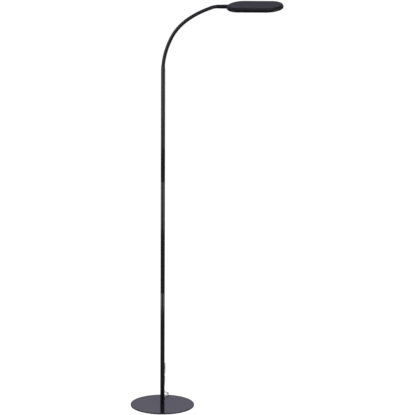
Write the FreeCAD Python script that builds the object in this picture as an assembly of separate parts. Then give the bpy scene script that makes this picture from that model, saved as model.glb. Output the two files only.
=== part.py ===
"""Gooseneck reading floor lamp: a flat round base, a slim pole, a bendable hose and a flat LED head.

Millimetres, +Z up. The origin is the centre of the base pad's underside, on the floor. The arm and
the head reach along +X. Each piece is a solid of its own and is written to parts/ under its name.
"""
import FreeCAD
import Part
import math
import os

V = FreeCAD.Vector
UP = V(0, 0, 1)
ACROSS = V(0, 1, 0)

# ---- driving dimensions -------------------------------------------------------------------------
FACE_GAP = 0.05                 # between curved faces that lie on each other in one body
RUN_GAP = 0.3                   # between pieces that move past each other

BASE_DIA = 220.0
BASE_THICK = 4.3
BASE_EDGE = 0.6                 # rounding of the plate's rim
PAD_THICK = 0.9
PAD_INSET = 4.0

POLE_DIA = 15.0
POLE_WALL = 1.2
POLE_HEIGHT = 1217.0            # top of the upper tube above the floor
POLE_SECTIONS = 3
COUPLING_LENGTH = 44.0
COUPLING_WALL = 1.6

BOLT_DIA = 6.0
BOLT_HEAD_DIA = 12.0
BOLT_HEAD_HEIGHT = 3.3
BOLT_LENGTH = 14.0
INSERT_HEIGHT = 11.0

CORD_DIA = 5.2
BOOT_LENGTH = 22.0
BOOT_SEAT = 0.8                 # how far the boot's cone wraps the round of the pole
BOOT_ROOT_DIA = 9.0
BOOT_TIP_DIA = 6.4
CORD_HOLE_DIA = 6.6
CORD_EXIT_HEIGHT = 20.0         # above the floor
CORD_HEADING = 13.4             # degrees that the cord's way back is turned from +Y towards -X

CABLE_DIA = 2.6                 # two-core lamp cable inside the pole and the hose
DRIVER_GAP = 0.6                # driver's potted body to the pole's bore
DRIVER_LENGTH = 86.0

FERRULE_HEIGHT = 15.0
FERRULE_WALL = 0.55             # ferrule's lip around the hose
SPIGOT_LENGTH = 26.0
SPIGOT_RUN = 0.05               # radial clearance of the spigot in its bush
BUSH_WALL = 1.4
BUSH_FLANGE = 1.0
RETAINER_THICK = 1.6
RETAINER_GAP = 0.6              # retainer to the pole's bore

HOSE_DIA = 12.5                 # over the sleeve
SLEEVE_WALL = 1.1
HOSE_BORE = 4.0
# Length and bend of each stretch of the hose, from the pole up. It leaves the pole upright.
HOSE_RISE = 19.0
HOSE_RISE_BEND = 6.4
LINK_LENGTH = 48.5
LINK_BENDS = [10.5, 8.5, 14.5, 12.0, 8.5, 6.0]
TIP_LENGTH = 23.5
TIP_BEND = 19.4
HOSE_IN_FERRULE = 9.0
CUP_WALL = 0.8                  # socket around the ball at its thinnest
BEND_REACH = 16.0               # degrees that a joint of the hose bends from rest, at most
BALL_BORE = 3.6
STALK_DIA = 5.8
STALK_ROOT = 0.3                # how far a ball's stalk reaches into its link
CABLE_GAP = 0.45                # from a joint's centre to each cable end
SHOULDER = 4.2                  # from a ball's centre to its link's full width
CUP_RIM = 1.2                   # how far a socket reaches past its ball's centre

HEAD_LENGTH = 201.0
HEAD_WIDTH = 102.4
HEAD_THICK = 15.1
HEAD_TOP_ROUND = 9.0
HEAD_BOTTOM_ROUND = 5.6
HEAD_RIM_FLAT = 0.5             # least upright band left between the two roundings
HEAD_WALL = 1.8
FRAME_DEPTH = 4.35              # from the head's underside to the joint line of shell and frame
FRAME_LIP_HEIGHT = 1.7
FRAME_LIP_WALL = 1.2
LEDGE_THICK = 1.35
WINDOW_INSET = 8.5              # from the head's outline to the light window
DIFFUSER_THICK = 2.0
DIFFUSER_SEAT = 4.0             # from the head's outline to the diffuser's seat
REFLECTOR_WALL = 1.2
BOARD_THICK = 1.6
BOARD_BACK_MARGIN = 36.5        # from the head's outline, at the stem
BOARD_FRONT_MARGIN = 24.5
BOARD_SIDE_MARGIN = 19.2
LED_ROWS = 4
LED_COLUMNS = 10
LED_SIZE = (3.5, 2.8, 0.8)
STEM_LENGTH = 32.55             # from the hose's end to the head's rim
STEM_OVER_HOSE = 5.0
STEM_DIA = 15.0
STEM_WALL = 0.45                # stem's lip around the hose
STEM_DROP = 0.35                # stem axis below the head's mid height
STEM_SPIGOT_DIA = 4.8
STEM_NUT_DIA = 8.6
STEM_NUT_LENGTH = 3.4
STEM_BOSS = 2.6                 # flat seat of the nut inside the head's rim

PLUG_LENGTH = 37.0
PLUG_WIDTH = 35.0
PLUG_THICK = 13.6
PIN_DIA = 4.0
PIN_LENGTH = 19.0
PIN_SPACING = 18.6
PLUG_LIFT = 0.2
TAIL_LENGTH = 22.0              # cord between the hank and the plug
TAIL_IN_HANK = 8.0
HANK_START = 188.0              # from the pole's axis to the folded cord
HANK_RUN = 80.0                 # straight part of the folded cord
HANK_FOLD = 54.4                # height of its outer loop, between cord centres

# ---- worked out ---------------------------------------------------------------------------------
PLATE_TOP = PAD_THICK + BASE_THICK
POLE_R = POLE_DIA / 2
POLE_BORE_R = POLE_R - POLE_WALL
SECTION_LENGTH = (POLE_HEIGHT - PLATE_TOP) / POLE_SECTIONS
FERRULE_FOOT = POLE_HEIGHT + BUSH_FLANGE + RUN_GAP
FERRULE_TOP = FERRULE_FOOT + FERRULE_HEIGHT
HOSE_FOOT = FERRULE_TOP - HOSE_IN_FERRULE
HOSE_R = HOSE_DIA / 2
CORE_R = HOSE_R - SLEEVE_WALL - FACE_GAP
DRIVER_DIA = 2 * (POLE_BORE_R - DRIVER_GAP)
RETAINER_DIA = 2 * (POLE_BORE_R - RETAINER_GAP)
SPIGOT_DIA = 2 * (POLE_BORE_R - FACE_GAP - BUSH_WALL - SPIGOT_RUN)
FERRULE_TOP_DIA = HOSE_DIA + 2 * FERRULE_WALL
STEM_TIP_DIA = HOSE_DIA + 2 * STEM_WALL
BALL_DIA = 2 * (CORE_R - CUP_WALL - RUN_GAP)
HEAD_SPLIT = FRAME_DEPTH - HEAD_THICK / 2
ROUND_SHARE = min(1.0, (HEAD_THICK - HEAD_RIM_FLAT) / (HEAD_TOP_ROUND + HEAD_BOTTOM_ROUND))
TOP_ROUND = HEAD_TOP_ROUND * ROUND_SHARE
BOTTOM_ROUND = HEAD_BOTTOM_ROUND * ROUND_SHARE
BOARD_LENGTH = HEAD_LENGTH - BOARD_BACK_MARGIN - BOARD_FRONT_MARGIN
BOARD_WIDTH = HEAD_WIDTH - 2 * BOARD_SIDE_MARGIN
BOARD_CENTRE = (BOARD_BACK_MARGIN - BOARD_FRONT_MARGIN) / 2
os.makedirs("parts", exist_ok=True)


def save(name, shape):
    """Write one named piece, from one solid or a list of them."""
    solids = shape if isinstance(shape, list) else [shape]
    whole = solids[0] if len(solids) == 1 else Part.makeCompound(solids)
    if len(solids) == 1 and len(whole.Solids) == 1:
        whole = whole.Solids[0]
    print(name, "solids", len(whole.Solids), "valid", whole.isValid(), "volume", round(whole.Volume, 2))
    whole.exportStep("parts/" + name + ".step")


def rod(diameter, length, foot, axis=UP):
    return Part.makeCylinder(diameter / 2, length, foot, axis)


def tube(outer, inner, length, foot, axis=UP):
    reach = 1.0
    hole = rod(inner, length + 2 * reach, foot - axis * reach, axis)
    return rod(outer, length, foot, axis).cut(hole)


# ---- base plate, pad and bolt -------------------------------------------------------------------
pad = rod(BASE_DIA - 2 * PAD_INSET, PAD_THICK, V(0, 0, 0))
save("base_pad", pad)

plate = rod(BASE_DIA, BASE_THICK, V(0, 0, PAD_THICK))
rim_edges = [e for e in plate.Edges if e.Closed and abs(e.Curve.Radius - BASE_DIA / 2) < 0.01]
plate = plate.makeFillet(BASE_EDGE, [e for e in rim_edges if e.BoundBox.ZLength < 0.01])
sink = Part.makeCone(BOLT_HEAD_DIA / 2, BOLT_DIA / 2, BOLT_HEAD_HEIGHT, V(0, 0, PAD_THICK))
plate = plate.cut(sink)
plate = plate.cut(rod(BOLT_DIA + 2 * FACE_GAP, BASE_THICK + 2, V(0, 0, PAD_THICK - 1)))
save("base_plate", plate)

bolt = Part.makeCone(BOLT_HEAD_DIA / 2 - FACE_GAP, BOLT_DIA / 2, BOLT_HEAD_HEIGHT, V(0, 0, PAD_THICK))
bolt = bolt.fuse(rod(BOLT_DIA, BOLT_LENGTH, V(0, 0, PAD_THICK)))
hex_points = [V(2 * math.cos(math.radians(60 * k)), 2 * math.sin(math.radians(60 * k)), PAD_THICK) for k in range(7)]
hex_socket = Part.Face(Part.makePolygon(hex_points)).extrude(V(0, 0, 2.0))
save("base_bolt", bolt.cut(hex_socket).removeSplitter())

# ---- pole: tubes, foot insert and couplings -----------------------------------------------------
insert = tube(2 * (POLE_BORE_R - FACE_GAP), BOLT_DIA + 2 * FACE_GAP, INSERT_HEIGHT, V(0, 0, PLATE_TOP))
save("pole_foot_insert", insert)

back = V(-math.sin(math.radians(CORD_HEADING)), math.cos(math.radians(CORD_HEADING)), 0)
aside = V(math.cos(math.radians(CORD_HEADING)), math.sin(math.radians(CORD_HEADING)), 0)
cord_exit_foot = V(0, 0, CORD_EXIT_HEIGHT)
section_names = ["pole_lower", "pole_middle", "pole_upper"]
for index, name in enumerate(section_names):
    foot = V(0, 0, PLATE_TOP + index * SECTION_LENGTH)
    section = tube(POLE_DIA, 2 * POLE_BORE_R, SECTION_LENGTH, foot)
    if index == 0:
        section = section.cut(rod(CORD_HOLE_DIA, POLE_DIA, cord_exit_foot, back))
    save(name, section)
for index, name in enumerate(["pole_coupling_lower", "pole_coupling_upper"]):
    middle = PLATE_TOP + (index + 1) * SECTION_LENGTH
    outer = 2 * (POLE_BORE_R - FACE_GAP)
    coupling = tube(outer, outer - 2 * COUPLING_WALL, COUPLING_LENGTH, V(0, 0, middle - COUPLING_LENGTH / 2))
    save(name, coupling)

# ---- wiring in the pole: driver and cables ------------------------------------------------------
driver_foot = PLATE_TOP + SECTION_LENGTH * 0.25
save("driver_module", rod(DRIVER_DIA, DRIVER_LENGTH, V(0, 0, driver_foot)))
feed_height = driver_foot - CORD_EXIT_HEIGHT
feed_up = rod(CABLE_DIA, feed_height, V(0, 0, CORD_EXIT_HEIGHT))
feed_in = rod(CABLE_DIA, POLE_BORE_R - 1, cord_exit_foot, back)
save("feed_cable", feed_up.fuse(feed_in).removeSplitter())
riser_foot = driver_foot + DRIVER_LENGTH
spigot_foot = POLE_HEIGHT + BUSH_FLANGE - SPIGOT_LENGTH
riser_top = spigot_foot - RETAINER_THICK - 0.4
save("pole_cable", rod(CABLE_DIA, riser_top - riser_foot, V(0, 0, riser_foot)))

# ---- turning fit at the pole's top --------------------------------------------------------------
bush_foot = spigot_foot + RETAINER_THICK + 2 * RUN_GAP
bush = tube(2 * (POLE_BORE_R - FACE_GAP), SPIGOT_DIA + 2 * SPIGOT_RUN, POLE_HEIGHT - bush_foot, V(0, 0, bush_foot))
flange = tube(POLE_DIA - 0.4, SPIGOT_DIA + 2 * SPIGOT_RUN, BUSH_FLANGE, V(0, 0, POLE_HEIGHT))
save("swivel_bush", bush.fuse(flange).removeSplitter())

ferrule = Part.makeCone(POLE_R - 0.1, FERRULE_TOP_DIA / 2, FERRULE_HEIGHT, V(0, 0, FERRULE_FOOT))
ferrule = ferrule.fuse(rod(SPIGOT_DIA, FERRULE_FOOT - spigot_foot, V(0, 0, spigot_foot)))
retainer = tube(RETAINER_DIA, SPIGOT_DIA + 2 * FACE_GAP, RETAINER_THICK, V(0, 0, spigot_foot + RUN_GAP))
save("neck_retainer", retainer)


# ---- gooseneck hose -----------------------------------------------------------------------------
class Station:
    """A point on the hose's centreline and the way the hose heads there, in the XZ plane."""

    def __init__(self, place, heading):
        self.place = place
        self.heading = heading
        angle = math.radians(heading)
        self.along = V(math.cos(angle), 0, math.sin(angle))
        self.inward = V(math.sin(angle), 0, -math.cos(angle))

    def pivot(self, length, bend):
        """Centre of the arc that turns by bend degrees over length."""
        return self.place + self.inward * (length / math.radians(bend))

    def after(self, length, bend):
        centre = self.pivot(length, bend)
        arm = self.place - centre
        turned = FreeCAD.Rotation(ACROSS, bend).multVec(arm)
        return Station(centre + turned, self.heading - bend)


def bent_rod(radius, start, length, bend, bore=0.0):
    """A round bar, or a tube if bore is given, along the arc that leaves start."""
    disc = Part.Face(Part.Wire(Part.Circle(start.place, start.along, radius).toShape()))
    if bore:
        disc = disc.cut(Part.Face(Part.Wire(Part.Circle(start.place, start.along, bore).toShape())))
        disc = disc.Faces[0]
    return disc.revolve(start.pivot(length, bend), ACROSS, bend).Solids[0]


def hose_link(start, length, bend, has_ball, has_socket):
    """Core, sleeve and cable of one stretch, with its ball seat at start and its socket at the end."""
    lead = SHOULDER if has_ball else 0.0
    share = lead / length
    first = start.after(lead, bend * share) if lead else start
    rest = length - lead
    rest_bend = bend * (1 - share)
    end = start.after(length, bend)
    core = bent_rod(CORE_R, first, rest, rest_bend)
    sleeve = bent_rod(HOSE_R, first, rest, rest_bend, CORE_R + FACE_GAP)
    if has_socket:
        core = core.fuse(rod(2 * CORE_R, CUP_RIM, end.place, end.along))
        sleeve = sleeve.fuse(tube(HOSE_DIA, 2 * (CORE_R + FACE_GAP), CUP_RIM, end.place, end.along))
    core = core.cut(bent_rod(HOSE_BORE / 2, first, rest, rest_bend))
    if has_socket:
        core = core.cut(Part.makeSphere(BALL_DIA / 2 + RUN_GAP, end.place))
    if has_ball:
        stalk = rod(STALK_DIA, lead + STALK_ROOT, start.place, start.along)
        ball = Part.makeSphere(BALL_DIA / 2, start.place).fuse(stalk)
        ball = ball.cut(rod(BALL_BORE, 2 * BALL_DIA + lead, start.place - start.along * BALL_DIA, start.along))
        # The bore flares towards the link before, so the cable clears it when the joint is bent.
        mouth = BALL_BORE / 2 + BALL_DIA * math.tan(math.radians(BEND_REACH))
        ball = ball.cut(Part.makeCone(BALL_BORE / 2, mouth, BALL_DIA, start.place, -start.along))
        core = core.fuse(ball)
    cable_start = start.after(CABLE_GAP, bend * CABLE_GAP / length) if has_ball else start
    cable_rest = length - CABLE_GAP * (has_ball + has_socket)
    cable = bent_rod(CABLE_DIA / 2, cable_start, cable_rest, bend * cable_rest / length)
    return core.removeSplitter(), sleeve.removeSplitter(), cable, end


foot = Station(V(0, 0, HOSE_FOOT), 90.0)
rise_top = foot.after(HOSE_RISE, HOSE_RISE_BEND)
rise_core = bent_rod(CORE_R, foot, HOSE_RISE, HOSE_RISE_BEND, HOSE_BORE / 2)
rise_sleeve = bent_rod(HOSE_R, foot, HOSE_RISE, HOSE_RISE_BEND, CORE_R + FACE_GAP)
rise_cable = bent_rod(CABLE_DIA / 2, foot, HOSE_RISE, HOSE_RISE_BEND)
spigot_cable = rod(CABLE_DIA, HOSE_FOOT - spigot_foot, V(0, 0, spigot_foot))
core, sleeve, cable, station = hose_link(rise_top, LINK_LENGTH, LINK_BENDS[0], False, True)
ferrule = ferrule.cut(rod(HOSE_BORE, FERRULE_TOP, V(0, 0, spigot_foot - 1)))
ferrule = ferrule.cut(bent_rod(HOSE_R + FACE_GAP, foot, HOSE_RISE, HOSE_RISE_BEND))
save("neck_ferrule", ferrule.removeSplitter())
save("hose_1", rise_core.fuse(core).removeSplitter())
save("sleeve_1", rise_sleeve.fuse(sleeve).removeSplitter())
save("neck_cable_1", spigot_cable.fuse(rise_cable).fuse(cable).removeSplitter())
joint_stations = [station]
for number, bend in enumerate(LINK_BENDS[1:], start=2):
    core, sleeve, cable, station = hose_link(station, LINK_LENGTH, bend, True, True)
    save("hose_%d" % number, core)
    save("sleeve_%d" % number, sleeve)
    save("neck_cable_%d" % number, cable)
    joint_stations.append(station)
core, sleeve, cable, hose_end = hose_link(station, TIP_LENGTH, TIP_BEND, True, False)
save("hose_7", core)
save("sleeve_7", sleeve)
save("neck_cable_7", cable)
for joint in joint_stations:
    print("joint at", [round(c, 3) for c in joint.place], "heading", round(joint.heading, 2))
print("hose end", [round(c, 3) for c in hose_end.place], "heading", round(hose_end.heading, 2))

# ---- head, modelled level about its own centre and then placed on the stem ----------------------
HALF_LENGTH = HEAD_LENGTH / 2
HALF_WIDTH = HEAD_WIDTH / 2
head_turn = FreeCAD.Rotation(ACROSS, -hose_end.heading)
head_from_hose = head_turn.multVec(V(STEM_LENGTH + HALF_LENGTH, 0, STEM_DROP))
head_place = FreeCAD.Placement(hose_end.place + head_from_hose, head_turn)


def stadium(inset, low, high):
    """A slab with the head's outline, drawn in by inset, between two heights."""
    radius = HALF_WIDTH - inset
    reach = HALF_LENGTH - HALF_WIDTH
    sides = [
        Part.LineSegment(V(-reach, -radius, low), V(reach, -radius, low)),
        Part.Arc(V(reach, -radius, low), V(reach + radius, 0, low), V(reach, radius, low)),
        Part.LineSegment(V(reach, radius, low), V(-reach, radius, low)),
        Part.Arc(V(-reach, radius, low), V(-reach - radius, 0, low), V(-reach, -radius, low)),
    ]
    wire = Part.Wire([side.toShape() for side in sides])
    return Part.Face(wire).extrude(V(0, 0, high - low))


def round_rim(slab, height, radius):
    """Fillet the slab's outline edges at one height."""
    edges = [e for e in slab.Edges if e.BoundBox.ZLength < 0.01 and abs(e.BoundBox.ZMin - height) < 0.01]
    return slab.makeFillet(radius, edges)


def placed(shape):
    moved = shape.copy()
    moved.Placement = head_place.multiply(moved.Placement)
    return moved


HALF_THICK = HEAD_THICK / 2
outer = round_rim(stadium(0, -HALF_THICK, HALF_THICK), HALF_THICK, TOP_ROUND)
outer = round_rim(outer, -HALF_THICK, BOTTOM_ROUND)
ceiling = HALF_THICK - HEAD_WALL
cavity = stadium(HEAD_WALL, HEAD_SPLIT - 1, ceiling)
cavity = round_rim(cavity, ceiling, TOP_ROUND - HEAD_WALL)
above = Part.makeBox(HEAD_LENGTH + 20, HEAD_WIDTH + 20, HEAD_THICK, V(-HALF_LENGTH - 10, -HALF_WIDTH - 10, HEAD_SPLIT))
stem_axis = V(-HALF_LENGTH - 30, 0, -STEM_DROP)
stem_hole = rod(STEM_SPIGOT_DIA + 2 * FACE_GAP, 60, stem_axis, V(1, 0, 0))
boss = rod(STEM_NUT_DIA + 1, HEAD_WALL + STEM_BOSS, V(-HALF_LENGTH, 0, -STEM_DROP), V(1, 0, 0))
shell = outer.common(above).cut(cavity).fuse(boss.common(outer).common(above)).cut(stem_hole)
save("head_shell", placed(shell.removeSplitter()))

seat_floor = -HALF_THICK + LEDGE_THICK
frame = outer.cut(above)
frame = frame.cut(stadium(WINDOW_INSET, -HALF_THICK - 1, HALF_THICK))
frame = frame.cut(stadium(DIFFUSER_SEAT, seat_floor, HALF_THICK))
lip_inset = HEAD_WALL + FACE_GAP
curve_foot = ceiling - (TOP_ROUND - HEAD_WALL)
lip_top = min(HEAD_SPLIT + FRAME_LIP_HEIGHT, curve_foot - FACE_GAP)
lip = stadium(lip_inset, HEAD_SPLIT, lip_top)
lip = lip.cut(stadium(lip_inset + FRAME_LIP_WALL, HEAD_SPLIT - 1, HALF_THICK))
shoulder = stadium(lip_inset, HEAD_SPLIT - 0.8, HEAD_SPLIT)
shoulder = shoulder.cut(stadium(DIFFUSER_SEAT, HEAD_SPLIT - 1, HALF_THICK))
frame = frame.fuse(lip).fuse(shoulder)
nut_room = Part.makeBox(14, STEM_NUT_DIA + 3, 12, V(-HALF_LENGTH, -STEM_NUT_DIA / 2 - 1.5, HEAD_SPLIT))
nut_bay = rod(STEM_NUT_DIA + 1, 10, V(-HALF_LENGTH + HEAD_WALL, 0, -STEM_DROP), V(1, 0, 0))
frame = frame.cut(nut_room).cut(nut_bay).cut(stem_hole)
save("head_frame", placed(frame.removeSplitter()))

window = stadium(WINDOW_INSET + 0.2, -HALF_THICK + 0.25, seat_floor + 0.1)
diffuser = stadium(DIFFUSER_SEAT + 0.2, seat_floor, seat_floor + DIFFUSER_THICK).fuse(window)
save("diffuser", placed(diffuser.cut(nut_bay).removeSplitter()))

board_floor = ceiling - BOARD_THICK
wall_inset = DIFFUSER_SEAT + 4.2
reflector_floor = seat_floor + DIFFUSER_THICK
reflector = stadium(wall_inset, reflector_floor, ceiling - 0.3)
reflector = reflector.cut(stadium(wall_inset + REFLECTOR_WALL, reflector_floor - 1, ceiling + 1))
save("reflector", placed(reflector.cut(rod(3.4, 30, stem_axis + V(30, 0, 0), V(1, 0, 0)))))

board = Part.makeBox(BOARD_LENGTH, BOARD_WIDTH, BOARD_THICK, V(BOARD_CENTRE - BOARD_LENGTH / 2, -BOARD_WIDTH / 2, board_floor))
save("led_board", placed(board))
leds = []
for row in range(LED_ROWS):
    for column in range(LED_COLUMNS):
        led_x = BOARD_CENTRE + (column - (LED_COLUMNS - 1) / 2) * BOARD_LENGTH / LED_COLUMNS
        led_y = (row - (LED_ROWS - 1) / 2) * BOARD_WIDTH / LED_ROWS
        corner = V(led_x - LED_SIZE[0] / 2, led_y - LED_SIZE[1] / 2, board_floor - LED_SIZE[2])
        leds.append(placed(Part.makeBox(*LED_SIZE, corner)))
save("leds", leds)
touch_x = BOARD_CENTRE - BOARD_LENGTH / 2 - 3
touch = Part.makeBox(14, 18, 1.0, V(touch_x - 14, -9, ceiling - 1.0))
save("touch_sensor", placed(touch))

# ---- stem: tapered end fitting of the hose, screwed through the head's rim ----------------------
stem_back = STEM_LENGTH + STEM_OVER_HOSE
tip = V(-HALF_LENGTH - stem_back, 0, -STEM_DROP)
stem = Part.makeCone(STEM_TIP_DIA / 2, STEM_DIA / 2 - 0.2, stem_back, tip, V(1, 0, 0))
stem = stem.fuse(rod(STEM_DIA - 0.4, TOP_ROUND, tip + V(stem_back, 0, 0), V(1, 0, 0)))
stem = stem.cut(outer)
stem = sorted(stem.Solids, key=lambda solid: solid.Volume)[-1]
spigot_start = tip + V(stem_back - 6, 0, 0)
spigot_length = 6 + HEAD_WALL + STEM_BOSS + STEM_NUT_LENGTH
stem = stem.fuse(rod(STEM_SPIGOT_DIA, spigot_length, spigot_start, V(1, 0, 0)))
stem = stem.cut(rod(3.2, 80, tip - V(1, 0, 0), V(1, 0, 0)))
stem = placed(stem)
hose_room = rod(HOSE_DIA + 2 * FACE_GAP, STEM_OVER_HOSE, hose_end.place - hose_end.along * STEM_OVER_HOSE, hose_end.along)
hose_curve = bent_rod(HOSE_R + FACE_GAP, station, TIP_LENGTH, TIP_BEND)
stem = stem.cut(hose_room).cut(hose_curve)
save("stem", stem.removeSplitter())
nut = tube(STEM_NUT_DIA, STEM_SPIGOT_DIA + 2 * FACE_GAP, STEM_NUT_LENGTH,
           V(-HALF_LENGTH + HEAD_WALL + STEM_BOSS, 0, -STEM_DROP), V(1, 0, 0))
save("stem_nut", placed(nut))
lead_x = -HALF_LENGTH - STEM_LENGTH + 0.3
lead = rod(CABLE_DIA, touch_x - 16 - lead_x, V(lead_x, 0, -STEM_DROP), V(1, 0, 0))
riser = rod(CABLE_DIA, ceiling - 1.0 + STEM_DROP, V(touch_x - 12, 0, -STEM_DROP))
lead = lead.fuse(rod(CABLE_DIA, 5, V(touch_x - 17, 0, -STEM_DROP), V(1, 0, 0))).fuse(riser)
save("head_cable", placed(lead.removeSplitter()))

# ---- mains cord ---------------------------------------------------------------------------------
boot_foot = cord_exit_foot + back * (POLE_R - POLE_WALL - 1.5)
boot_neck = rod(CORD_HOLE_DIA - 2 * FACE_GAP, POLE_WALL + 2.5, boot_foot, back)
boot_cone = Part.makeCone(BOOT_ROOT_DIA / 2, BOOT_TIP_DIA / 2, BOOT_LENGTH, cord_exit_foot + back * (POLE_R - BOOT_SEAT), back)
pole_core = rod(POLE_DIA + 2 * FACE_GAP, 60, V(0, 0, PLATE_TOP))
boot = boot_cone.cut(pole_core).fuse(boot_neck.common(rod(POLE_DIA + 2, 60, V(0, 0, PLATE_TOP))))
boot = boot.cut(rod(CABLE_DIA + 0.2, POLE_BORE_R - RUN_GAP, cord_exit_foot, back))
save("cord_boot", boot.removeSplitter())
boot_tip = POLE_R - BOOT_SEAT + BOOT_LENGTH

# The cord's way from its boot to the folded hank: aside, back and height of each corner of its runs.
CORD_ROUTE = [
    (0.0, boot_tip, 20.0), (0.0, 36.0, 20.0), (0.3, 48.0, 17.4), (2.2, 60.5, 12.4), (6.5, 74.0, 9.0), (12.5, 90.0, 8.6),
    (18.0, 106.0, 9.4), (20.0, 121.0, 6.6), (15.5, 136.0, 3.3), (8.0, 149.0, 3.0), (2.0, 163.0, 3.0),
    (0.2, 179.0, 3.0), (-0.7, 194.0, 3.0), (-2.4, 208.0, 3.0),
]


def cord_place(across, away, height):
    return aside * across + back * away + UP * height


def cord_tube(points, diameter):
    """Straight runs joined by tangent arcs, each as large as its runs allow."""
    edges = []
    start = points[0]
    total = 0.0
    for before, corner, beyond in zip(points, points[1:], points[2:]):
        arm_in = before - corner
        arm_out = beyond - corner
        turn = math.pi - arm_in.getAngle(arm_out)
        reach = 0.45 * min(arm_in.Length, arm_out.Length)
        radius = reach / math.tan(turn / 2)
        unit_in = V(arm_in).normalize()
        unit_out = V(arm_out).normalize()
        arc_start = corner + unit_in * reach
        arc_end = corner + unit_out * reach
        bisector = (unit_in + unit_out).normalize()
        middle = corner + bisector * (radius / math.cos(turn / 2) - radius)
        edges.append(Part.LineSegment(start, arc_start).toShape())
        edges.append(Part.Arc(arc_start, middle, arc_end).toShape())
        total += (arc_start - start).Length + radius * turn
        start = arc_end
        print("cord arc radius", round(radius, 1), "run", round(arm_in.Length, 1))
    edges.append(Part.LineSegment(start, points[-1]).toShape())
    total += (points[-1] - start).Length
    wire = Part.Wire(edges)
    direction = V(points[1] - points[0]).normalize()
    ring = Part.Wire(Part.Circle(points[0], direction, diameter / 2).toShape())
    solid = wire.makePipeShell([ring], True, False)
    section = math.pi * diameter ** 2 / 4
    print("cord length", round(total, 1), "volume over section times length", round(solid.Volume / (section * total), 4))
    return solid


route = [cord_place(*point) for point in CORD_ROUTE]
save("mains_cord", cord_tube(route, CORD_DIA))

hank_height = HANK_FOLD + CORD_DIA
hank_width = 2 * CORD_DIA + 0.6
hank_front = HANK_START
hank_r = hank_height / 2
hank = rod(hank_height, hank_width, V(hank_r, -hank_width / 2, hank_r + RUN_GAP), ACROSS)
hank = hank.fuse(rod(hank_height, hank_width, V(hank_r + HANK_RUN, -hank_width / 2, hank_r + RUN_GAP), ACROSS))
hank = hank.fuse(Part.makeBox(HANK_RUN, hank_width, hank_height, V(hank_r, -hank_width / 2, RUN_GAP)))
hank_turn = FreeCAD.Rotation(UP, 90 + CORD_HEADING)
hank_place = FreeCAD.Placement(back * hank_front, hank_turn)
hank = hank.removeSplitter()
hank.Placement = hank_place
save("cord_hank", hank)
tie_middle = hank_r + HANK_RUN / 2
tie_wall = 0.8
tie = Part.makeBox(9.0, hank_width + 2 * tie_wall, hank_height + tie_wall, V(tie_middle - 4.5, -hank_width / 2 - tie_wall, RUN_GAP))
tie = tie.cut(Part.makeBox(11.0, hank_width + 0.1, hank_height + 1, V(tie_middle - 5.5, -hank_width / 2 - 0.05, RUN_GAP - 1 + 0.05)))
tie.Placement = hank_place
save("hank_tie", tie)

plug_front = hank_front + 2 * hank_r + HANK_RUN
plug_start = plug_front + TAIL_LENGTH
plug_middle = PLUG_LIFT + PLUG_WIDTH / 2
tail_foot = back * (plug_front - TAIL_IN_HANK) + UP * plug_middle
save("cord_tail", rod(CORD_DIA, TAIL_LENGTH + TAIL_IN_HANK, tail_foot, back))
plug_body = Part.makeBox(PLUG_LENGTH, PLUG_THICK, PLUG_WIDTH, V(plug_start, -PLUG_THICK / 2, PLUG_LIFT))
plug_body = plug_body.makeFillet(4.0, [e for e in plug_body.Edges if e.BoundBox.XLength > PLUG_LENGTH - 1])
plug_body.Placement = FreeCAD.Placement(V(0, 0, 0), hank_turn)
save("plug_body", plug_body)
pins = []
for side in (-1, 1):
    pin = rod(PIN_DIA, PIN_LENGTH, V(plug_start + PLUG_LENGTH, 0, plug_middle + side * PIN_SPACING / 2), V(1, 0, 0))
    pin = pin.makeFillet(1.2, [pin.Edges[0]] if pin.Edges[0].BoundBox.XMin > plug_start + PLUG_LENGTH + 1 else [pin.Edges[2]])
    pin.Placement = FreeCAD.Placement(V(0, 0, 0), hank_turn)
    pins.append(pin)
save("plug_pins", pins)
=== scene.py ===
"""Looks of the gooseneck reading floor lamp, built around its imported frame. Metres, +Z up."""
import math

import bpy
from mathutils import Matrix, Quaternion, Vector


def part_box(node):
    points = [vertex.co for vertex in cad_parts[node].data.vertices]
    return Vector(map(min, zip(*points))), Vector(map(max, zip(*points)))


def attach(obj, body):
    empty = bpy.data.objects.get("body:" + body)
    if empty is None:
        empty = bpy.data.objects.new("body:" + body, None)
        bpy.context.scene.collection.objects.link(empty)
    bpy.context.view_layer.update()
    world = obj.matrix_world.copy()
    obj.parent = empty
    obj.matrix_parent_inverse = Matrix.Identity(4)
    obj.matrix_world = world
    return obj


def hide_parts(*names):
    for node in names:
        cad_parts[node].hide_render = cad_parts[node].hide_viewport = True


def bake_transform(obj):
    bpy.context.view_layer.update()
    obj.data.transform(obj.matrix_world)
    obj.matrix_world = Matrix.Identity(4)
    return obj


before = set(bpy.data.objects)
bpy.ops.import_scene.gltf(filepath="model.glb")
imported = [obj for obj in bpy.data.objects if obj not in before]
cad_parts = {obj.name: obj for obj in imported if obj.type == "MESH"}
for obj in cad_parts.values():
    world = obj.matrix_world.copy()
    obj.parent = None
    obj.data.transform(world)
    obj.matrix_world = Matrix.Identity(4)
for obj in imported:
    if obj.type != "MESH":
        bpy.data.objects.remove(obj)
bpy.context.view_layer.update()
bpy.context.scene.view_settings.view_transform = "Standard"

# ---- camera ---------------------------------------------------------------------------------
# The product is seen through a very long lens, from a little above and a little to the right of
# the arm's plane, so the pole keeps one width from foot to top.
IMAGE_PIXELS = 415
METRES_PER_PIXEL = 0.003468
VIEW_AZIMUTH = math.radians(14.0)
VIEW_ELEVATION = math.radians(17.4)
VIEW_ROLL = math.radians(0.13)
POLE_PIXEL_X = 162.37
FLOOR_PIXEL_Y = 405.35
CAMERA_DISTANCE = 6.0

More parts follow.
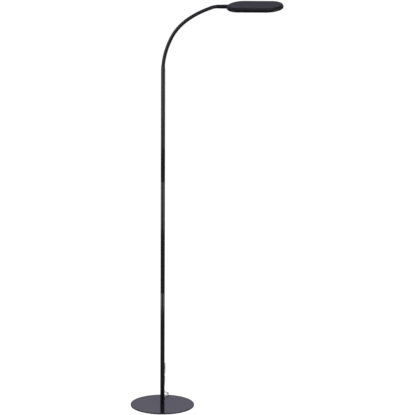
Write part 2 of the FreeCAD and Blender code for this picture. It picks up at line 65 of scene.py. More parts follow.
to_right = Vector((math.cos(VIEW_AZIMUTH), math.sin(VIEW_AZIMUTH), 0))
to_back = Vector((-math.sin(VIEW_AZIMUTH), math.cos(VIEW_AZIMUTH), 0))
to_camera = -to_back * math.cos(VIEW_ELEVATION) + Vector((0, 0, math.sin(VIEW_ELEVATION)))
image_up = to_back * math.sin(VIEW_ELEVATION) + Vector((0, 0, math.cos(VIEW_ELEVATION)))
right_of_pole = (IMAGE_PIXELS / 2 - POLE_PIXEL_X) * METRES_PER_PIXEL
above_floor = (FLOOR_PIXEL_Y - IMAGE_PIXELS / 2) * METRES_PER_PIXEL
aim = to_right * right_of_pole + image_up * above_floor

bpy.ops.object.camera_add(location=aim + to_camera * CAMERA_DISTANCE)
camera = bpy.context.object
level_turn = to_camera.to_track_quat("Z", "Y")
camera.rotation_euler = (level_turn @ Quaternion((0, 0, 1), VIEW_ROLL)).to_euler()
# The roll turns the picture about its centre, so the aim is set back to keep the foot where it is.
foot_before = Vector((right_of_pole, above_floor))
foot_after = Vector((foot_before.x * math.cos(VIEW_ROLL) - foot_before.y * math.sin(VIEW_ROLL),
                     foot_before.x * math.sin(VIEW_ROLL) + foot_before.y * math.cos(VIEW_ROLL)))
foot_moved = foot_after - foot_before
camera.location += to_right * foot_moved.x + image_up * foot_moved.y
camera.data.type = "ORTHO"
camera.data.ortho_scale = IMAGE_PIXELS * METRES_PER_PIXEL
camera.data.clip_end = 60
bpy.context.scene.camera = camera

# ---- mains cord -----------------------------------------------------------------------------
# A two-core lead with a clear PVC sheath, extruded over two stranded wires, so the dark plate
# shows through it. It leaves the pole's foot at the back, crosses the plate, and is folded into a
# tied hank behind the pole.
CORD_DIA = 0.0052
LEAD_AZIMUTH = math.radians(13.4)
lead_across = Vector((math.cos(LEAD_AZIMUTH), math.sin(LEAD_AZIMUTH), 0))
lead_away = Vector((-math.sin(LEAD_AZIMUTH), math.cos(LEAD_AZIMUTH), 0))
# Points of the lead's line, as so far across, away from the pole and above the floor.
CORD_ROUTE = [
    (0.0, 0.0287, 0.0200), (0.0, 0.0360, 0.0200), (0.0003, 0.0480, 0.0174),
    (0.0022, 0.0605, 0.0124), (0.0065, 0.0740, 0.0090), (0.0125, 0.0900, 0.0086),
    (0.0180, 0.1060, 0.0094), (0.0200, 0.1210, 0.0066), (0.0155, 0.1360, 0.0033),
    (0.0080, 0.1490, 0.0030), (0.0020, 0.1630, 0.0030), (0.0002, 0.1790, 0.0030),
    (-0.0007, 0.1940, 0.0030), (-0.0024, 0.2080, 0.0030), (-0.0030, 0.2320, 0.0030),
    (-0.0030, 0.2620, 0.0030),
]
CORD_END = [
    (0.0030, 0.2380, 0.0030), (0.0030, 0.2700, 0.0030), (0.0030, 0.3000, 0.0030),
    (0.0030, 0.3150, 0.0042), (0.0027, 0.3265, 0.0095), (0.0015, 0.3370, 0.0155),
    (0.0004, 0.3445, 0.0177), (0.0, 0.3530, 0.0177),
]
# The hank: straight runs between half-round folds, in two columns side by side.
HANK_FRONT = 0.188
HANK_RUN = 0.080
HANK_FOLDS = 8
FOLD_OUTER = 0.0272
FOLD_INNER = 0.0166
FOLDS_TO_INNER = 3.5
COLUMN_SHIFT = 0.0030
FOLD_ANGLES = (-67.5, -22.5, 22.5, 67.5)
CORNER_REACH = 1 / math.cos(math.radians(22.5))
FLOOR_GAP = 0.0003
HANK_MIDDLE = FLOOR_GAP + CORD_DIA / 2 + FOLD_OUTER
HANK_NEAR = HANK_FRONT + CORD_DIA / 2 + FOLD_OUTER


def cord_place(across, away, height):
    return lead_across * across + lead_away * away + Vector((0, 0, height))


def hank_loop(progress):
    """Fold radius and sideways place of the loops, after so many folds."""
    inward = min(min(progress, HANK_FOLDS - progress) / FOLDS_TO_INNER, 1.0)
    crossing = min(max(progress - FOLDS_TO_INNER, 0.0), 1.0)
    return FOLD_OUTER + (FOLD_INNER - FOLD_OUTER) * inward, COLUMN_SHIFT * (2 * crossing - 1)


def hank_turns():
    """Control points of the folded cord: it spirals in along one column and out along the other."""
    points = []
    for fold in range(HANK_FOLDS):
        side = 1 if fold % 2 == 0 else -1
        end = HANK_NEAR + (HANK_RUN if side > 0 else 0)
        for angle in FOLD_ANGLES:
            radius, across = hank_loop(fold + (angle + 90) / 180)
            turn = math.radians(angle)
            reach = radius * CORNER_REACH * side
            points.append((across, end + reach * math.cos(turn),
                           HANK_MIDDLE + reach * math.sin(turn)))
        if fold == HANK_FOLDS - 1:
            break
        radius, across = hank_loop(fold + 1)
        for share in (0.3, 0.7):
            points.append((across, end - side * HANK_RUN * share,
                           HANK_MIDDLE + side * radius))
    return points


def spline_curve(name, points, radius, sides):
    """A NURBS curve led by control points, with a round section unless radius is 0."""
    data = bpy.data.curves.new(name, "CURVE")
    data.dimensions = "3D"
    data.resolution_u = 8
    data.bevel_depth = radius
    data.bevel_resolution = sides
    data.use_fill_caps = True
    spline = data.splines.new("NURBS")
    spline.points.add(len(points) - 1)
    for item, place in zip(spline.points, points):
        item.co = (*place, 1.0)
    spline.order_u = 3
    spline.use_endpoint_u = True
    curve = bpy.data.objects.new(name, data)
    bpy.context.collection.objects.link(curve)
    return curve


def colour(code):
    """Linear RGBA of an sRGB hex colour such as 1c1c20."""
    channels = [int(code[i:i + 2], 16) / 255 for i in (0, 2, 4)]
    linear = [c / 12.92 if c <= 0.04045 else ((c + 0.055) / 1.055) ** 2.4 for c in channels]
    return (*linear, 1.0)


def add_node(tree, kind, settings=None, inputs=None, links=None):
    """Add one shader node with its settings, its input values and its incoming links."""
    node = tree.nodes.new(kind)
    for name, value in (settings or {}).items():
        setattr(node, name, value)
    for name, value in (inputs or {}).items():
        node.inputs[name].default_value = value
    for name, source in (links or {}).items():
        tree.links.new(source, node.inputs[name])
    return node


def new_material(name, **surface):
    """A material with one Principled surface, whose plain values are given by socket name."""
    material = bpy.data.materials.new(name)
    material.use_nodes = True
    shader = material.node_tree.nodes["Principled BSDF"]
    for socket, value in surface.items():
        shader.inputs[socket.replace("_", " ")].default_value = value
    return material, material.node_tree, shader


# Clear plasticised PVC off the extruder: water-clear with a soft shine, so the wires and what lies
# behind show through, bent by the round sheath.
clear_pvc, tree, shader = new_material(
    "extruded_clear_pvc", Base_Color=colour("fafcfc"), Roughness=0.10, IOR=1.52,
    Transmission_Weight=1.0)
place = add_node(tree, "ShaderNodeTexCoord").outputs["Object"]
# Extrusion leaves a faint waviness a few millimetres long.
waviness = add_node(tree, "ShaderNodeTexNoise", inputs={"Scale": 260.0, "Detail": 2.0},
                    links={"Vector": place})
bump = add_node(tree, "ShaderNodeBump", inputs={"Strength": 0.12, "Distance": 0.0004},
                links={"Height": waviness.outputs["Fac"]})
tree.links.new(bump.outputs["Normal"], shader.inputs["Normal"])

cord_points = [cord_place(*point) for point in CORD_ROUTE + hank_turns() + CORD_END]
mains_cord = spline_curve("mains_cord_sheath", cord_points, CORD_DIA / 2, 6)
mains_cord.data.materials.append(clear_pvc)
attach(mains_cord, "stand")
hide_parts("mains_cord", "cord_hank", "cord_tail")

# ---- wires of the cord ----------------------------------------------------------------------
# Two bundles of fine tinned copper strands. The sheath is extruded round them, so they run side by
# side inside it, one above the other, all the way to the plug.
WIRE_DIA = 0.0013
WIRE_SHIFT = 0.00085
# Tinned copper strand: a pale silvery line with a broken shine, as each strand turns. Real strands
# are 0.2 mm; they are drawn at 0.5 mm so that they show.
tinned_copper, tree, shader = new_material(
    "tinned_copper_strand", Base_Color=colour("ecebe8"), Metallic=1.0, Roughness=0.38)
place = add_node(tree, "ShaderNodeTexCoord").outputs["Object"]
strands = add_node(tree, "ShaderNodeTexNoise", inputs={"Scale": 2200.0, "Detail": 1.0},
                   links={"Vector": place})
bump = add_node(tree, "ShaderNodeBump", inputs={"Strength": 0.5, "Distance": 0.0002},
                links={"Height": strands.outputs["Fac"]})
tree.links.new(bump.outputs["Normal"], shader.inputs["Normal"])
bare_line = spline_curve("cord_centreline", cord_points, 0.0, 0)
line_mesh = bpy.data.meshes.new_from_object(bare_line)
centreline = [vertex.co.copy() for vertex in line_mesh.vertices]
bpy.data.objects.remove(bare_line)
bpy.data.meshes.remove(line_mesh)
for index, side in enumerate((-1, 1)):
    data = bpy.data.curves.new("cord_wire_%d" % (index + 1), "CURVE")
    data.dimensions = "3D"
    data.bevel_depth = WIRE_DIA / 2
    data.bevel_resolution = 2
    data.use_fill_caps = True
    spline = data.splines.new("POLY")
    spline.points.add(len(centreline) - 1)
    for number, point in enumerate(centreline):
        ahead = centreline[min(number + 1, len(centreline) - 1)]
        behind = centreline[max(number - 1, 0)]
        sideways = (ahead - behind).cross(lead_across)
        sideways = (ahead - behind).cross(sideways).normalized()
        spline.points[number].co = (*(point + sideways * WIRE_SHIFT * side), 1.0)
    wire = bpy.data.objects.new(data.name, data)
    bpy.context.collection.objects.link(wire)
    wire.data.materials.append(tinned_copper)
    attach(wire, "stand")

# ---- cord boot ------------------------------------------------------------------------------
# A moulded clear PVC strain relief, tapered and ringed so that it bends, pushed into the pole.
BOOT_START = 0.0067
BOOT_TIP = 0.0287
BOOT_ROOT_R = 0.0045
BOOT_TIP_R = 0.0032
BOOT_RINGS = 6
BOOT_HEIGHT = 0.020
BOOT_LENGTH = BOOT_TIP - BOOT_START
GROOVE_HALF = 0.0006
GROOVE_DEEP = 0.0005


def select_only(*objects):
    bpy.ops.object.select_all(action="DESELECT")
    for item in objects:
        item.select_set(True)
    bpy.context.view_layer.objects.active = objects[0]


def pick(obj, faces=None, edges=None):
    """Select faces or edges of a mesh by a test on each, and go into edit mode."""
    select_only(obj)
    bpy.ops.object.mode_set(mode="EDIT")
    bpy.ops.mesh.select_mode(type="FACE" if faces else "EDGE")
    bpy.ops.mesh.select_all(action="DESELECT")
    bpy.ops.object.mode_set(mode="OBJECT")
    points = obj.data.vertices
    if faces:
        for face in obj.data.polygons:
            face.select = bool(faces(face))
    else:
        for edge in obj.data.edges:
            ends = [points[i].co for i in edge.vertices]
            edge.select = bool(edges(*ends))
    bpy.ops.object.mode_set(mode="EDIT")


def done(obj, name, body, material, stands_for=(), smooth=35):
    """Name a finished piece, put its place into its mesh, tie it to its body and hide the CAD nodes
    that it stands for.
    """
    if bpy.context.mode != "OBJECT":
        bpy.ops.object.mode_set(mode="OBJECT")
    select_only(obj)
    bpy.ops.object.transform_apply(location=True, rotation=True, scale=True)
    bpy.ops.object.shade_smooth_by_angle(angle=math.radians(smooth))
    obj.name = name
    obj.data.name = name
    obj.data.materials.clear()
    obj.data.materials.append(material)
    if body:
        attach(obj, body)
    if stands_for:
        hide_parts(*stands_for)
    return obj


def close_up(obj):
    """Merge doubles and turn all faces outwards."""
    select_only(obj)
    bpy.ops.object.mode_set(mode="EDIT")
    bpy.ops.mesh.select_all(action="SELECT")
    bpy.ops.mesh.remove_doubles(threshold=1e-6)
    bpy.ops.mesh.normals_make_consistent(inside=False)
    bpy.ops.object.mode_set(mode="OBJECT")


bpy.ops.mesh.primitive_cone_add(vertices=48, radius1=BOOT_ROOT_R, radius2=BOOT_TIP_R,
                                depth=BOOT_LENGTH)
boot = bpy.context.object
boot.rotation_euler = lead_away.to_track_quat("Z", "Y").to_euler()
boot.location = cord_place(0, (BOOT_START + BOOT_TIP) / 2, BOOT_HEIGHT)
bpy.ops.object.mode_set(mode="EDIT")
for ring in range(1, BOOT_RINGS + 1):
    from_middle = (ring / (BOOT_RINGS + 1) - 0.5) * BOOT_LENGTH
    for edge_of_groove in (-GROOVE_HALF, GROOVE_HALF):
        bpy.ops.mesh.select_all(action="SELECT")
        cut = boot.location + lead_away * (from_middle + edge_of_groove)
        bpy.ops.mesh.bisect(plane_co=cut, plane_no=lead_away)
bpy.ops.object.mode_set(mode="OBJECT")
bpy.ops.object.transform_apply(location=True, rotation=True, scale=True)
groove_places = [BOOT_START + ring / (BOOT_RINGS + 1) * BOOT_LENGTH
                 for ring in range(1, BOOT_RINGS + 1)]


def in_boot_groove(face):
    away = Vector(face.center).dot(lead_away)
    on_side = abs(face.normal.dot(lead_away)) < 0.5
    return on_side and any(abs(away - place) < GROOVE_HALF * 0.8 for place in groove_places)


pick(boot, faces=in_boot_groove)
bpy.ops.mesh.extrude_region_shrink_fatten(TRANSFORM_OT_shrink_fatten={"value": -GROOVE_DEEP})
bpy.ops.object.mode_set(mode="OBJECT")
close_up(boot)
# Clear PVC out of a mould: thicker and a little milky, with a softer shine than the lead's.
moulded_pvc, tree, shader = new_material(
    "moulded_clear_pvc", Base_Color=colour("dde1e0"), Roughness=0.22, IOR=1.52,
    Transmission_Weight=0.85)
place = add_node(tree, "ShaderNodeTexCoord").outputs["Object"]
sink_marks = add_node(tree, "ShaderNodeTexNoise", inputs={"Scale": 320.0, "Detail": 2.0},
                      links={"Vector": place})
bump = add_node(tree, "ShaderNodeBump", inputs={"Strength": 0.15, "Distance": 0.0003},
                links={"Height": sink_marks.outputs["Fac"]})
tree.links.new(bump.outputs["Normal"], shader.inputs["Normal"])
done(boot, "cord_boot_moulding", "stand", moulded_pvc, ["cord_boot"], smooth=50)

# ---- hank tie -------------------------------------------------------------------------------
# A flat black PVC band with a wire in it, bent round the folded cord.
TIE_WIDTH = 0.009
TIE_WALL = 0.00035
TIE_SLACK = 0.0004
TIE_CORNER = 0.0035
tie_away = HANK_NEAR + HANK_RUN / 2
tie_half = COLUMN_SHIFT + CORD_DIA / 2 + TIE_SLACK
tie_height = 2 * FOLD_OUTER + CORD_DIA + TIE_SLACK / 2
tie_middle = cord_place(0, tie_away, HANK_MIDDLE)
bpy.ops.mesh.primitive_cube_add(size=1, location=tie_middle)
tie = bpy.context.object
tie.rotation_euler = (0, 0, LEAD_AZIMUTH)
tie.scale = (2 * tie_half, TIE_WIDTH, tie_height)
bpy.ops.object.transform_apply(location=True, rotation=True, scale=True)
pick(tie, faces=lambda face: abs(face.normal.dot(lead_away)) > 0.9)
bpy.ops.mesh.delete(type="FACE")
bpy.ops.object.mode_set(mode="OBJECT")
pick(tie, edges=lambda a, b: abs((a - b).normalized().dot(lead_away)) > 0.9)
bpy.ops.mesh.bevel(offset=TIE_CORNER, segments=6, affect="EDGES")
bpy.ops.object.mode_set(mode="OBJECT")
wall = tie.modifiers.new("wall", "SOLIDIFY")
wall.thickness = TIE_WALL
one_face = tie.data.polygons[0]
wall.offset = -1 if one_face.normal.dot(one_face.center - tie_middle) < 0 else 1
edge_round = tie.modifiers.new("edge", "BEVEL")
edge_round.width = 0.0002
edge_round.segments = 2
select_only(tie)
bpy.ops.object.modifier_apply(modifier="wall")
bpy.ops.object.modifier_apply(modifier="edge")
# Black vinyl, extruded flat: a dull grey-black with a fine grain.
tie_vinyl, tree, shader = new_material(
    "ribbed_black_vinyl", Base_Color=colour("1d1d1f"), Roughness=0.42)
place = add_node(tree, "ShaderNodeTexCoord").outputs["Object"]
grain = add_node(tree, "ShaderNodeTexNoise", inputs={"Scale": 1500.0}, links={"Vector": place})
bump = add_node(tree, "ShaderNodeBump", inputs={"Strength": 0.2, "Distance": 0.0001},
                links={"Height": grain.outputs["Fac"]})
tree.links.new(bump.outputs["Normal"], shader.inputs["Normal"])
done(tie, "hank_tie_band", "stand", tie_vinyl, ["hank_tie"])

# ---- flat mains plug ------------------------------------------------------------------------
# A clear PVC moulding over a pin bridge, waisted for the fingers, with two round sleeved pins.
PLUG_START = 0.3496
PLUG_LENGTH = 0.037
PLUG_WIDTH = 0.035
PLUG_THICK = 0.0136
PLUG_MIDDLE = 0.0177
PLUG_ROUND = 0.0035
bpy.ops.mesh.primitive_cube_add(size=1)
plug = bpy.context.object
plug.scale = (PLUG_THICK, PLUG_LENGTH, PLUG_WIDTH)
plug.rotation_euler = (0, 0, LEAD_AZIMUTH)
plug.location = cord_place(0, PLUG_START + PLUG_LENGTH / 2, PLUG_MIDDLE)
bpy.ops.object.transform_apply(location=True, rotation=True, scale=True)
bpy.ops.object.mode_set(mode="EDIT")
for share in (0.2, 0.5, 0.8):
    bpy.ops.mesh.select_all(action="SELECT")
    bpy.ops.mesh.bisect(plane_co=cord_place(0, PLUG_START + PLUG_LENGTH * share, 0),
                        plane_no=lead_away)
bpy.ops.object.mode_set(mode="OBJECT")
# The moulding narrows in steps towards the lead.
for share, narrow in ((0.0, 0.42), (0.2, 0.66), (0.5, 0.90)):
    for vertex in plug.data.vertices:
        if abs(vertex.co.dot(lead_away) - PLUG_START - PLUG_LENGTH * share) < 1e-5:
            vertex.co.z = PLUG_MIDDLE + (vertex.co.z - PLUG_MIDDLE) * narrow
select_only(plug)
edge_round = plug.modifiers.new("edge", "BEVEL")
edge_round.width = PLUG_ROUND
edge_round.segments = 5
bpy.ops.object.modifier_apply(modifier="edge")
close_up(plug)
done(plug, "flat_plug_moulding", "stand", moulded_pvc, ["plug_body"])

# ---- plug pins ------------------------------------------------------------------------------
# Two round brass pins, turned, rounded at the tip and nickel plated, held in the plug's moulding.
PIN_SPACING = 0.0186
PIN_R = 0.002
PIN_ROUND = 0.0011
PIN_IN_PLUG = 0.001
PIN_LENGTH = 0.019
# Nickel plate on turned brass: a warm silver mirror, hazed by fine turning marks.
nickel_plate, tree, shader = new_material(
    "nickel_plated_brass", Base_Color=colour("c9c4b6"), Metallic=1.0, Roughness=0.22)
place = add_node(tree, "ShaderNodeTexCoord").outputs["Object"]
turning = add_node(tree, "ShaderNodeTexNoise", inputs={"Scale": 1800.0}, links={"Vector": place})
bump = add_node(tree, "ShaderNodeBump", inputs={"Strength": 0.06, "Distance": 0.0001},
                links={"Height": turning.outputs["Fac"]})
tree.links.new(bump.outputs["Normal"], shader.inputs["Normal"])
for index, side in enumerate((-1, 1)):
    bpy.ops.mesh.primitive_cylinder_add(vertices=32, radius=PIN_R, depth=PIN_LENGTH + PIN_IN_PLUG)
    pin = bpy.context.object
    pin.rotation_euler = lead_away.to_track_quat("Z", "Y").to_euler()
    middle = PLUG_START + PLUG_LENGTH + (PIN_LENGTH - PIN_IN_PLUG) / 2
    pin.location = cord_place(0, middle, PLUG_MIDDLE + side * PIN_SPACING / 2)
    edge_round = pin.modifiers.new("edge", "BEVEL")
    edge_round.width = PIN_ROUND
    edge_round.segments = 4
    edge_round.limit_method = "ANGLE"
    bpy.ops.object.modifier_apply(modifier="edge")
    done(pin, "plug_pin_%d" % (index + 1), "stand", nickel_plate,
                           ["plug_pins"] if index == 0 else [])

# ---- studio ---------------------------------------------------------------------------------
# A white sweep under an even white surround, with two tall softboxes that draw the bright lines
# down the pole's flanks.
FLOOR_SIDE = 16
FLOOR_AWAY = 4.5
bpy.ops.mesh.primitive_plane_add(size=FLOOR_SIDE, location=(0, FLOOR_AWAY, 0))
floor = bpy.context.object
floor.name = "studio_floor"
# Matt white paper: no shine and no edge; most of what the camera sees of it is its own even white,
# and the rest keeps the lamp's soft shadow.
paper, tree, shader = new_material("white_paper_sweep", Base_Color=colour("f4f4f4"), Roughness=0.9)
rays = add_node(tree, "ShaderNodeLightPath")
glow = add_node(tree, "ShaderNodeEmission", inputs={"Color": (1, 1, 1, 1), "Strength": 1.12})
seen = add_node(tree, "ShaderNodeMath", {"operation": "MAXIMUM"})
tree.links.new(rays.outputs["Is Camera Ray"], seen.inputs[0])
tree.links.new(rays.outputs["Is Transmission Ray"], seen.inputs[1])
# Painted shade in reflections: seen by glossy rays the paper's colour drops from 0.9 to 0.2, so the
# black gloss mirrors a darker floor than the camera sees.
painted_reflection_shade = add_node(tree, "ShaderNodeMapRange", inputs={"To Min": 0.9, "To Max": 0.2},
                    links={"Value": rays.outputs["Is Glossy Ray"]})
tree.links.new(painted_reflection_shade.outputs["Result"], shader.inputs["Base Color"])
EVEN_WHITE_SHARE = 0.84
share = add_node(tree, "ShaderNodeMath", {"operation": "MULTIPLY"})
share.inputs[1].default_value = EVEN_WHITE_SHARE
tree.links.new(seen.outputs[0], share.inputs[0])
mix = add_node(tree, "ShaderNodeMixShader")
tree.links.new(share.outputs[0], mix.inputs[0])
tree.links.new(shader.outputs[0], mix.inputs[1])
tree.links.new(glow.outputs[0], mix.inputs[2])
tree.links.new(mix.outputs[0], tree.nodes["Material Output"].inputs["Surface"])
floor.data.materials.append(paper)

world = bpy.data.worlds.new("white_surround")
bpy.context.scene.world = world
world.use_nodes = True
tree = world.node_tree
tree.nodes.clear()
# The surround: a dim white fill, plain white to the camera, and a slightly violet white that the
# black gloss mirrors, as in the photo.
rays = add_node(tree, "ShaderNodeLightPath")
fill = add_node(tree, "ShaderNodeBackground", inputs={"Color": (1, 1, 1, 1), "Strength": 0.55})
white = add_node(tree, "ShaderNodeBackground", inputs={"Color": (1, 1, 1, 1), "Strength": 1.0})
shine = add_node(tree, "ShaderNodeBackground",
                 inputs={"Color": (0.82, 0.78, 1, 1), "Strength": 0.64})
direct = add_node(tree, "ShaderNodeMath", {"operation": "MAXIMUM"})
tree.links.new(rays.outputs["Is Camera Ray"], direct.inputs[0])
tree.links.new(rays.outputs["Is Transmission Ray"], direct.inputs[1])
first = add_node(tree, "ShaderNodeMixShader")
tree.links.new(rays.outputs["Is Glossy Ray"], first.inputs[0])
tree.links.new(fill.outputs[0], first.inputs[1])
tree.links.new(shine.outputs[0], first.inputs[2])
second = add_node(tree, "ShaderNodeMixShader")
tree.links.new(direct.outputs[0], second.inputs[0])
tree.links.new(first.outputs[0], second.inputs[1])
tree.links.new(white.outputs[0], second.inputs[2])
output = add_node(tree, "ShaderNodeOutputWorld")
tree.links.new(second.outputs[0], output.inputs["Surface"])


def softbox(name, across, away, height, width, tall, power, target_height):
    """A rectangular lamp at a place given from the camera's side, turned to the lamp's pole."""
    place = cord_place(across, away, height)
    bpy.ops.object.light_add(type="AREA", location=place)
    lamp = bpy.context.object
    lamp.name = name
    lamp.data.shape = "RECTANGLE"
    lamp.data.size = width
    lamp.data.size_y = tall
    lamp.data.energy = power
    lamp.visible_camera = False
    lamp.rotation_euler = (place - Vector((0, 0, target_height))).to_track_quat("Z", "Y").to_euler()
    return lamp


# The side lamps stand a little in front of the pole, so that each draws a line on its flank.
SIDE_ACROSS = 1.26
SIDE_AWAY = -0.61
SIDE_HEIGHT = 1.03
softbox("left_softbox", -SIDE_ACROSS, SIDE_AWAY, SIDE_HEIGHT, 0.6, 1.54, 14.0, SIDE_HEIGHT)
softbox("right_softbox", SIDE_ACROSS, SIDE_AWAY, SIDE_HEIGHT, 0.6, 1.54, 13.5, SIDE_HEIGHT)
softbox("top_softbox", 0.2, -0.6, 3.2, 1.6, 1.6, 26.0, 0.8)

# ---- base plate -----------------------------------------------------------------------------
# A steel disc, laser cut, its rim eased, powder coated and lacquered gloss black. A countersunk
# bolt from below holds the pole to its middle.
PLATE_R = 0.110
PLATE_LOW = 0.0009
PLATE_HIGH = 0.0052
RIM_EASED = 0.0006


def keep_flat(obj, faces):
    """Inset large flat faces a little, so that their shading stays flat up to the rounding."""
    pick(obj, faces=faces)
    bpy.ops.mesh.inset(thickness=0.0003)
    bpy.ops.object.mode_set(mode="OBJECT")


bpy.ops.mesh.primitive_cylinder_add(vertices=256, radius=PLATE_R, depth=PLATE_HIGH - PLATE_LOW,
                                    location=(0, 0, (PLATE_LOW + PLATE_HIGH) / 2))
plate = bpy.context.object
pick(plate, edges=lambda a, b: abs(a.z - b.z) < 1e-6 and a.xy.length > 0.1)
bpy.ops.mesh.bevel(offset=RIM_EASED, segments=4, affect="EDGES")
bpy.ops.object.mode_set(mode="OBJECT")
keep_flat(plate, lambda face: face.area > 0.01)
# Gloss acrylic lacquer over black powder coat: nearly a mirror, so the plate shows the pole's
# reflection and the grey of the room.
gloss_lacquer, tree, shader = new_material(
    "gloss_black_lacquer", Base_Color=colour("131316"), Roughness=0.10, IOR=1.46)
place = add_node(tree, "ShaderNodeTexCoord").outputs["Object"]
# Sprayed lacquer has an orange-peel skin about 2 mm across, and a little dust softens the shine.
peel = add_node(tree, "ShaderNodeTexNoise", inputs={"Scale": 420.0, "Detail": 2.0},
                links={"Vector": place})
bump = add_node(tree, "ShaderNodeBump", inputs={"Strength": 0.012, "Distance": 0.0004},
                links={"Height": peel.outputs["Fac"]})
tree.links.new(bump.outputs["Normal"], shader.inputs["Normal"])
dust = add_node(tree, "ShaderNodeTexNoise", inputs={"Scale": 34.0, "Detail": 6.0},
                links={"Vector": place})
haze = add_node(tree, "ShaderNodeMapRange", inputs={"To Min": 0.07, "To Max": 0.16},
                links={"Value": dust.outputs["Fac"]})
tree.links.new(haze.outputs["Result"], shader.inputs["Roughness"])
done(plate, "base_disc", "stand", gloss_lacquer, ["base_plate"])

# ---- foam pad -------------------------------------------------------------------------------
# A disc of closed-cell EVA foam, die cut, glued under the plate so that steel doesn't mark the
# floor.


def dress(material, *nodes):
    """Give carried-over CAD nodes a finished material."""
    for name in nodes:
        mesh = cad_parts[name].data
        mesh.materials.clear()
        mesh.materials.append(material)


# Closed-cell foam: dead matt, pitted with cells of under a millimetre.
eva_foam, tree, shader = new_material(
    "closed_cell_eva_foam", Base_Color=colour("262626"), Roughness=0.95)
place = add_node(tree, "ShaderNodeTexCoord").outputs["Object"]
cells = add_node(tree, "ShaderNodeTexVoronoi", inputs={"Scale": 1400.0}, links={"Vector": place})
bump = add_node(tree, "ShaderNodeBump", inputs={"Strength": 0.4, "Distance": 0.0002},
                links={"Height": cells.outputs["Distance"]})
tree.links.new(bump.outputs["Normal"], shader.inputs["Normal"])
dress(eva_foam, "base_pad")

# ---- pole -----------------------------------------------------------------------------------
# Three lengths of welded steel tube, screwed end to end on inner couplings, powder coated satin
# black; each end is faced, so the joints show only as hairlines.
POLE_R = 0.0075
TUBE_END_EASED = 0.00015
# Satin black powder coat, smooth grade: black with narrow bright lines where it faces a lamp.
pole_lacquer, tree, shader = new_material(
    "satin_black_powder_coat", Base_Color=colour("0c0c0e"), Roughness=0.16, IOR=1.46)
place = add_node(tree, "ShaderNodeTexCoord").outputs["Object"]
peel = add_node(tree, "ShaderNodeTexNoise", inputs={"Scale": 900.0, "Detail": 2.0},
                links={"Vector": place})
bump = add_node(tree, "ShaderNodeBump", inputs={"Strength": 0.02, "Distance": 0.0002},
                links={"Height": peel.outputs["Fac"]})
tree.links.new(bump.outputs["Normal"], shader.inputs["Normal"])
for node in ("pole_lower", "pole_middle", "pole_upper"):
    low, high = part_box(node)
    bpy.ops.mesh.primitive_cylinder_add(vertices=96, radius=POLE_R, depth=high[2] - low[2],
                                        location=(0, 0, (low[2] + high[2]) / 2))
    tube = bpy.context.object
    pick(tube, edges=lambda a, b: abs(a.z - b.z) < 1e-6)
    bpy.ops.mesh.bevel(offset=TUBE_END_EASED, segments=2, affect="EDGES")
    bpy.ops.object.mode_set(mode="OBJECT")
    done(tube, node + "_tube", "stand", pole_lacquer, [node])

# ---- swivel bush, driver and touch sensor ---------------------------------------------------
# The bush is turned from nylon and pressed into the pole's mouth. The driver is potted in a nylon
# case inside the pole, and the sensor's case sits under the head's cover.
# Turned nylon: a dull black with faint tool marks.
black_nylon, tree, shader = new_material(
    "turned_black_nylon", Base_Color=colour("17171a"), Roughness=0.5)
place = add_node(tree, "ShaderNodeTexCoord").outputs["Object"]
marks = add_node(tree, "ShaderNodeTexNoise", inputs={"Scale": 1600.0}, links={"Vector": place})
bump = add_node(tree, "ShaderNodeBump", inputs={"Strength": 0.1, "Distance": 0.0001},
                links={"Height": marks.outputs["Fac"]})
tree.links.new(bump.outputs["Normal"], shader.inputs["Normal"])
dress(black_nylon, "swivel_bush", "driver_module", "touch_sensor")

# ---- gooseneck ------------------------------------------------------------------------------
# One wound steel hose in a smooth black PVC sleeve. It bends at every point, so the sleeve is made
# in stretches, each laid over one joint of the frame in the hose's shape at rest.
HOSE_R = 0.00625
HOSE_FOOT = (0.0, 1.2243)
# The hose at rest: lengths, and the degrees that each one bends down.
HOSE_ARCS = [(0.019, 6.4), (0.0485, 10.5), (0.0485, 8.5), (0.0485, 14.5), (0.0485, 12.0),
             (0.0485, 8.5), (0.0485, 6.0), (0.0235, 19.4)]
HOSE_STEP = 0.0015
HALF_LINK = 0.02425
FERRULE_HIDES = 0.004
TIP_REACH = 0.0215
TURN_SHARE = 0.92
TIP_TURN_SHARE = 0.6


def hose_place(length):
    """Point of the hose's centreline and its heading in degrees, so far up from its foot."""
    x, z = HOSE_FOOT
    heading = 90.0
    for arc, bend in HOSE_ARCS:
        part = min(length, arc)
        if part <= 0:
            break
        radius = arc / math.radians(bend)
        turned = bend * part / arc
        now, later = math.radians(heading), math.radians(heading - turned)
        x += radius * (math.sin(now) - math.sin(later))
        z += radius * (math.cos(later) - math.cos(now))
        heading -= turned
        length -= part
    return Vector((x, 0, z)), heading


joint_lengths = [sum(arc for arc, bend in HOSE_ARCS[:count]) for count in range(2, 8)]
# Smooth PVC drawn over the hose: an even satin black, a little softer in shine than the pole.
sleeve_pvc, tree, shader = new_material(
    "satin_black_pvc_sleeve", Base_Color=colour("0f0f11"), Roughness=0.36, IOR=1.5,
    Specular_IOR_Level=0.3)
place = add_node(tree, "ShaderNodeTexCoord").outputs["Object"]
skin = add_node(tree, "ShaderNodeTexNoise", inputs={"Scale": 1100.0, "Detail": 3.0},
                links={"Vector": place})
bump = add_node(tree, "ShaderNodeBump", inputs={"Strength": 0.04, "Distance": 0.0002},
                links={"Height": skin.outputs["Fac"]})
tree.links.new(bump.outputs["Normal"], shader.inputs["Normal"])


def sleeve_stretch(name, start, end):
    """A round solid along the hose from one length to another."""
    count = max(2, round((end - start) / HOSE_STEP))
    data = bpy.data.curves.new(name, "CURVE")
    data.dimensions = "3D"
    data.bevel_depth = HOSE_R
    data.bevel_resolution = 12
    data.use_fill_caps = True
    spline = data.splines.new("POLY")
    spline.points.add(count)
    for number, point in enumerate(spline.points):
        point.co = (*hose_place(start + (end - start) * number / count)[0], 1.0)
    stretch = bpy.data.objects.new(name, data)
    bpy.context.collection.objects.link(stretch)
    select_only(stretch)
    bpy.ops.object.convert(target="MESH")
    return bpy.context.object


